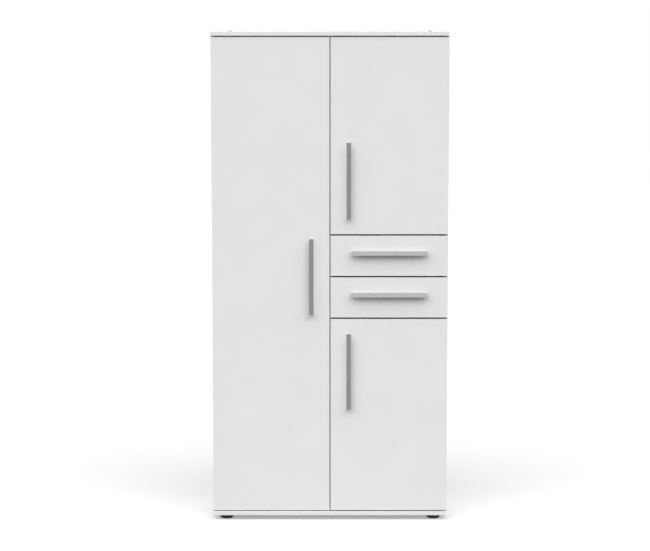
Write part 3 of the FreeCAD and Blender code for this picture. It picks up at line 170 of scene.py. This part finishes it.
def melamine(name, shade=0.0):
    """White melamine on board: a fine pearl grain, faint unevenness, softly worn edges.

    shade is how much painted shade darkens the tone inside the narrow gaps above and below a front, where
    shade falls. In the gaps beside it, the painted shade is a third as deep.
    """
    level, warmth = 0.785, 0.016
    shader = Shader(name)
    place = shader.place()
    cloud = shader.noise(place, 6, 3)
    grain = shader.noise(place, 1400, 2, 0.6)
    pearl = shader.noise(place, 420, 2)
    tone = shader.blend(shader.spread(cloud, 0, 1), grey(level * 0.985, warmth), grey(level * 1.01, warmth))
    edge = shader.math("MULTIPLY", shader.worn_edge(0.0009), 0.5)
    tone = shader.blend(edge, tone, grey(level * 0.93, warmth))
    # Painted shade: the tone darkens deep in narrow gaps, fully on faces that lie flat and a third as much
    # on upright ones.
    if shade:
        lying = shader.math("ABSOLUTE", shader.part_along(shader.world_normal(), "Z"))
        painted_shade_share = shader.spread(lying, shade / 3, shade, 0.0, 1.0)
        painted_shade_amount = shader.math("MULTIPLY", shader.painted_gap_shade(PAINTED_SHADE_REACH), painted_shade_share)
        tone = shader.blend(painted_shade_amount, tone, grey(PAINTED_SHADE_TONE))
    roughness = shader.spread(pearl, 0.36, 0.44)
    relief = shader.bump(grain, 0.12, 0.0002)
    relief = shader.bump(pearl, 0.10, 0.0004, relief)
    shader.surface(tone, roughness, normal=relief, Specular_IOR_Level=0.42)
    return shader.material


def foiled_board(name):
    """The drawers' foil: plainer and a little more matt than the fronts."""
    shader = Shader(name)
    place = shader.place((1, 0.12, 1))
    grain = shader.noise(place, 900, 3, 0.6)
    cloud = shader.noise(shader.place(), 9, 2)
    tone = shader.blend(shader.spread(cloud, 0, 1), grey(0.765, 0.008), grey(0.79, 0.008))
    relief = shader.bump(grain, 0.15, 0.0003)
    shader.surface(tone, shader.spread(grain, 0.48, 0.58), normal=relief, Specular_IOR_Level=0.4)
    return shader.material


def hardboard(name):
    """Thin backing: white lacquer towards the room, raw brown fibre with a screen texture behind."""
    shader = Shader(name)
    place = shader.place()
    fibre = shader.noise(place, 700, 4, 0.7)
    cloud = shader.noise(place, 14, 3)
    lacquer = shader.blend(shader.spread(cloud, 0, 1), grey(0.76, 0.01), grey(0.785, 0.01))
    brown = shader.blend(shader.spread(fibre, 0, 1), (0.20, 0.115, 0.06, 1), (0.31, 0.19, 0.105, 1))
    behind = shader.math("GREATER_THAN", shader.part_along(shader.world_normal(), "Y"), 0.5)
    tone = shader.blend(behind, lacquer, brown)
    weave = shader.node("ShaderNodeTexChecker")
    shader.link(place, weave.inputs["Vector"])
    weave.inputs["Scale"].default_value = 650
    height = shader.math("MULTIPLY", weave.outputs["Fac"], behind)
    height = shader.math("ADD", height, shader.math("MULTIPLY", fibre, 0.6))
    relief = shader.bump(height, 0.25, 0.0003)
    roughness = shader.math("ADD", shader.math("MULTIPLY", behind, 0.3), 0.5)
    shader.surface(tone, roughness, normal=relief)
    return shader.material


def brushed_metal(name, level, painted_sheen_level, along):
    """Satin metal with fine scratches along one axis, and edges painted much brighter: partly rubbed wear,
    partly a painted highlight.

    level is the tone of its front. The faces that turn back to the board take the next tone, painted
    brighter, as a painted reflection of the lit board and room they face.
    """
    warmth = 0.02
    shader = Shader(name)
    place = shader.place(tuple(0.012 if axis == along else 1 for axis in "XYZ"))
    fine = shader.noise(place, 5200, 3, 0.7)
    broad = shader.noise(place, 900, 2)
    tone = shader.blend(shader.spread(fine, 0, 1), grey(level * 0.93, warmth), grey(level * 1.06, warmth))
    # Edges twice as bright as the front: partly rubbed wear, partly a painted highlight.
    edge = shader.math("MULTIPLY", shader.worn_edge(0.0008), 0.7)
    tone = shader.blend(edge, tone, grey(level * 2, warmth))
    # Painted reflection: faces that turn back to the board are painted in their own, brighter tone.
    front = shader.math("ABSOLUTE", shader.part_along(shader.own_normal(), "Y"))
    tone = shader.blend(shader.spread(front, 1, 0), tone, grey(painted_sheen_level, warmth))
    relief = shader.bump(fine, 0.18, 0.0001)
    made = shader.surface(tone, shader.spread(broad, 0.42, 0.50), 1.0, relief, Anisotropic=0.9)
    tangent = shader.node("ShaderNodeTangent", direction_type="RADIAL", axis=along)
    shader.link(tangent.outputs[0], made.inputs["Tangent"])
    return shader.material


def plated_metal(name, level, roughness, warmth=0.0, mottling=0.06):
    """Bright or zinc plating over pressed steel, with faint mottling and brighter rubbed edges."""
    shader = Shader(name)
    place = shader.place()
    mottle = shader.noise(place, 260, 3)
    fine = shader.noise(place, 2400, 2)
    dull = grey(level * (1 - mottling), warmth)
    tone = shader.blend(shader.spread(mottle, 0, 1), dull, grey(level * (1 + mottling), warmth))
    edge = shader.math("MULTIPLY", shader.worn_edge(0.0003), 0.3)
    tone = shader.blend(edge, tone, grey(min(level * 1.3, 1), warmth))
    relief = shader.bump(fine, 0.10, 0.0001)
    change = mottling * 0.8
    shader.surface(tone, shader.spread(mottle, roughness - change, roughness + change), 1.0, relief)
    return shader.material


def coated_steel(name):
    """White powder coat with a slight orange peel."""
    shader = Shader(name)
    place = shader.place()
    peel = shader.noise(place, 900, 2)
    cloud = shader.noise(place, 20, 2)
    tone = shader.blend(shader.spread(cloud, 0, 1), grey(0.78, 0.004), grey(0.81, 0.004))
    relief = shader.bump(peel, 0.2, 0.0003)
    shader.surface(tone, shader.spread(peel, 0.30, 0.38), normal=relief)
    return shader.material


def moulded_plastic(name, colour, roughness, relief_strength=0.25):
    """Plastic with the fine grain of its mould."""
    shader = Shader(name)
    place = shader.place()
    grain = shader.noise(place, 1500, 3, 0.6)
    cloud = shader.noise(place, 60, 2)
    darker = tuple(channel * 0.88 for channel in colour[:3]) + (1,)
    tone = shader.blend(shader.spread(cloud, 0, 1), darker, colour)
    relief = shader.bump(grain, relief_strength, 0.0003)
    shader.surface(tone, shader.spread(grain, roughness - 0.06, roughness + 0.06), normal=relief)
    return shader.material


def bare_wood(name):
    """Untreated wood with its fibres along the Z axis."""
    shader = Shader(name)
    rings = shader.noise(shader.place((1, 1, 0.08)), 500, 4, 0.6)
    tone = shader.blend(shader.spread(rings, 0, 1), (0.42, 0.27, 0.14, 1), (0.62, 0.44, 0.26, 1))
    relief = shader.bump(rings, 0.3, 0.0003)
    shader.surface(tone, shader.spread(rings, 0.6, 0.75), normal=relief)
    return shader.material


MATERIALS = {
    "white_board": melamine("white_melamine"),
    "drawer_board": foiled_board("drawer_foil"),
    "white_backing": hardboard("hardboard_back"),
    "nickel_plate": plated_metal("nickel_plating", 0.64, 0.22, 0.012, 0.02),
    "zinc": plated_metal("zinc_plating", 0.56, 0.38),
    "white_coated_steel": coated_steel("white_powder_coat"),
    "white_nylon": moulded_plastic("white_nylon", (0.80, 0.80, 0.78, 1), 0.35, 0.1),
    "black_plastic": moulded_plastic("black_plastic", (0.018, 0.018, 0.019, 1), 0.48),
    "beech": bare_wood("bare_beech"),
    "clear_bumper": moulded_plastic("soft_bumper", (0.66, 0.67, 0.67, 1), 0.3, 0.05),
}
# Two copies of one metal with painted light: the horizontal bars' fronts are painted brighter, as if
# catching the light from above, and the vertical bars' fronts darker, with their turned-back faces much
# brighter.
HANDLE_METAL = {
    "X": brushed_metal("brushed_nickel_along_x_painted_light", 0.37, 0.40, "X"),
    "Z": brushed_metal("brushed_nickel_along_z_painted_light", 0.298, 0.66, "Z"),
}
RIGHT_FRONTS = ("upper_door", "lower_door", "upper_drawer_front", "lower_drawer_front")
# The right-hand fronts' melamine, with painted shade in the gaps between them.
RIGHT_FRONT_BOARD_WITH_PAINTED_SHADE = melamine("white_melamine_fronts_with_painted_shade", shade=0.95)


def dress_nodes():
    """Gives each piece the finish of its slot. A handle's scratches run along its bar, and horizontal and
    vertical bars take two copies of the metal with different painted light.
    """
    for name, piece in NODES.items():
        if SLOT_OF[name] == "brushed_nickel":
            low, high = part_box(name)
            material = HANDLE_METAL["Z" if high[2] - low[2] > high[0] - low[0] else "X"]
        # The right-hand fronts take the melamine with painted gap shade.
        elif name in RIGHT_FRONTS:
            material = RIGHT_FRONT_BOARD_WITH_PAINTED_SHADE
        else:
            material = MATERIALS[SLOT_OF[name]]
        for slot in piece.material_slots:
            slot.material = material


# Room, light and camera -----------------------------------------------------------------------------------

FLOOR_SIZE = 60
FLOOR_LEVEL = 0.62
FLOOR_BOUNCE = 0.30
FLOOR_GLOW = 0.34
WORLD_LIGHT = 0.16

# The angles are in degrees.
SUNS = {
    "middle": {"strength": 2.02, "spread": 58, "elevation": 58, "azimuth": 0},
    "left": {"strength": 1.22, "spread": 52, "elevation": 37, "azimuth": -55},
    "right": {"strength": 1.22, "spread": 52, "elevation": 37, "azimuth": 55},
    "behind": {"strength": 0.8, "spread": 60, "elevation": 8, "azimuth": 180},
}

# The photograph's view, from a fit to the cabinet's edges. The photograph's width, the focal length and
# the offset are in its pixels, the sensor in millimetres, the height and the distance from the doors'
# face in metres, and the pitch in degrees.
PHOTO_WIDTH = 650
FOCAL_PIXELS = 1686
SENSOR_WIDTH = 36
CABINET_CENTRE_OFFSET = 5
CAMERA_HEIGHT = 1.572
CAMERA_DISTANCE = 6.397
CAMERA_PITCH = 5.56


def make_floor():
    """A pale floor that keeps the shadow.

    Seen directly it also glows a little, so that it reads as white, and it sends less light back up.
    """
    half = FLOOR_SIZE / 2
    corners = [(-half, -half, 0), (half, -half, 0), (half, half, 0), (-half, half, 0)]
    mesh = bpy.data.meshes.new("floor")
    mesh.from_pydata(corners, [], [(0, 1, 2, 3)])
    floor = bpy.data.objects.new("floor", mesh)
    bpy.context.scene.collection.objects.link(floor)
    shader = Shader("pale_floor")
    rays = shader.node("ShaderNodeLightPath")
    seen = shader.math("MAXIMUM", rays.outputs["Is Camera Ray"], rays.outputs["Is Glossy Ray"])
    seen = shader.math("MAXIMUM", seen, rays.outputs["Is Transmission Ray"])
    diffuse = shader.node("ShaderNodeBsdfDiffuse")
    shader.link(shader.blend(seen, grey(FLOOR_BOUNCE), grey(FLOOR_LEVEL)), diffuse.inputs["Color"])
    glow = shader.node("ShaderNodeEmission")
    shader.link(shader.math("MULTIPLY", seen, FLOOR_GLOW), glow.inputs["Strength"])
    both = shader.node("ShaderNodeAddShader")
    shader.link(diffuse.outputs[0], both.inputs[0])
    shader.link(glow.outputs[0], both.inputs[1])
    shader.link(both.outputs[0], shader.output.inputs["Surface"])
    mesh.materials.append(shader.material)


def make_world():
    """White where it is seen, and a plain soft light everywhere else."""
    world = bpy.data.worlds.new("studio")
    bpy.context.scene.world = world
    world.use_nodes = True
    tree = world.node_tree
    tree.nodes.clear()
    rays = tree.nodes.new("ShaderNodeLightPath")
    mirrored = tree.nodes.new("ShaderNodeMath")
    mirrored.operation = "MAXIMUM"
    tree.links.new(rays.outputs["Is Glossy Ray"], mirrored.inputs[0])
    tree.links.new(rays.outputs["Is Transmission Ray"], mirrored.inputs[1])
    direct = tree.nodes.new("ShaderNodeMath")
    direct.operation = "MAXIMUM"
    tree.links.new(rays.outputs["Is Camera Ray"], direct.inputs[0])
    tree.links.new(mirrored.outputs[0], direct.inputs[1])
    strength = tree.nodes.new("ShaderNodeMapRange")
    strength.inputs["To Min"].default_value = WORLD_LIGHT
    strength.inputs["To Max"].default_value = 1.0
    background = tree.nodes.new("ShaderNodeBackground")
    background.inputs["Color"].default_value = (1, 1, 1, 1)
    output = tree.nodes.new("ShaderNodeOutputWorld")
    tree.links.new(direct.outputs[0], strength.inputs["Value"])
    tree.links.new(strength.outputs["Result"], background.inputs["Strength"])
    tree.links.new(background.outputs[0], output.inputs["Surface"])


def make_suns():
    """Very wide soft lights from high in front and from both sides, and a faint low one for the back."""
    for side, sun in SUNS.items():
        data = bpy.data.lights.new(f"soft_sun_{side}", "SUN")
        data.energy = sun["strength"]
        data.angle = math.radians(sun["spread"])
        light = bpy.data.objects.new(f"soft_sun_{side}", data)
        light.rotation_euler = (math.radians(90 - sun["elevation"]), 0, math.radians(sun["azimuth"]))
        bpy.context.scene.collection.objects.link(light)


def make_camera():
    """The photograph's view, straight from the front and a little downwards."""
    data = bpy.data.cameras.new("photo_view")
    data.sensor_width = SENSOR_WIDTH
    data.lens = FOCAL_PIXELS * SENSOR_WIDTH / PHOTO_WIDTH
    data.shift_x = -CABINET_CENTRE_OFFSET / PHOTO_WIDTH
    camera = bpy.data.objects.new("photo_view", data)
    door_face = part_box("left_door")[0][1]
    camera.location = (0, door_face - CAMERA_DISTANCE, CAMERA_HEIGHT)
    camera.rotation_euler = (math.radians(90 - CAMERA_PITCH), 0, 0)
    bpy.context.scene.collection.objects.link(camera)
    bpy.context.scene.camera = camera


dress_nodes()
make_floor()
make_world()
make_suns()
make_camera()
bpy.context.scene.view_settings.view_transform = "Standard"
